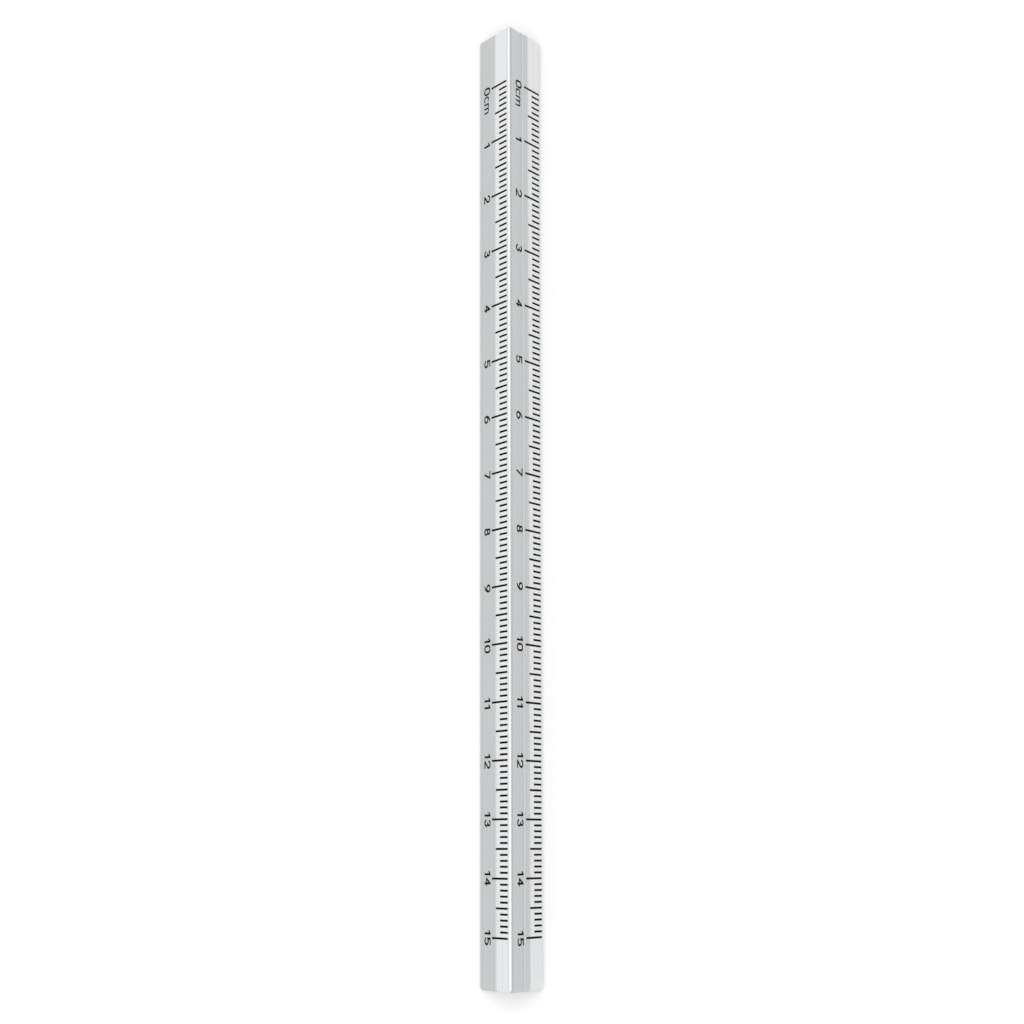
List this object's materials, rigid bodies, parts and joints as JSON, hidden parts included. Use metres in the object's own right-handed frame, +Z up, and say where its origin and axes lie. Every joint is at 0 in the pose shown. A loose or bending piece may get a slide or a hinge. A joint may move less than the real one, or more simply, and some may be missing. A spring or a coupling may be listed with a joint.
{
  "type": "triangular scale ruler",
  "caption": "Short triangular scale ruler: a hollow aluminium section with metric marks and figures on each face and a plastic plug in each end.",
  "frame": {"origin": "centre of the bounding box's bottom: the middle of the ruler, on the surface it lies on", "axes": "+X along the ruler from the zero end to the last centimetre, +Z up from the face it lies on to the ridge, +Y to the side away from the front face"},
  "size_m": [0.169, 0.0107, 0.0095],
  "materials": {
    "anodised_aluminium": "satin silver anodised, brighter band under the marks",
    "plug_plastic": "moulded light grey, fine satin texture",
    "marking_ink": "black ink filling the engraving"
  },
  "bodies": {
    "root": {"scale_body": "anodised_aluminium", "zero_end_plug": "plug_plastic", "far_end_plug": "plug_plastic", "front_mm_marks": "marking_ink", "front_half_cm_marks": "marking_ink", "front_cm_marks": "marking_ink", "front_numerals": "marking_ink", "front_unit_letters": "marking_ink", "back_mm_marks": "marking_ink", "back_half_cm_marks": "marking_ink", "back_cm_marks": "marking_ink", "back_numerals": "marking_ink", "back_unit_letters": "marking_ink", "bottom_mm_marks": "marking_ink", "bottom_half_cm_marks": "marking_ink", "bottom_cm_marks": "marking_ink", "bottom_numerals": "marking_ink", "bottom_unit_letters": "marking_ink"}
  },
  "joints": []
}
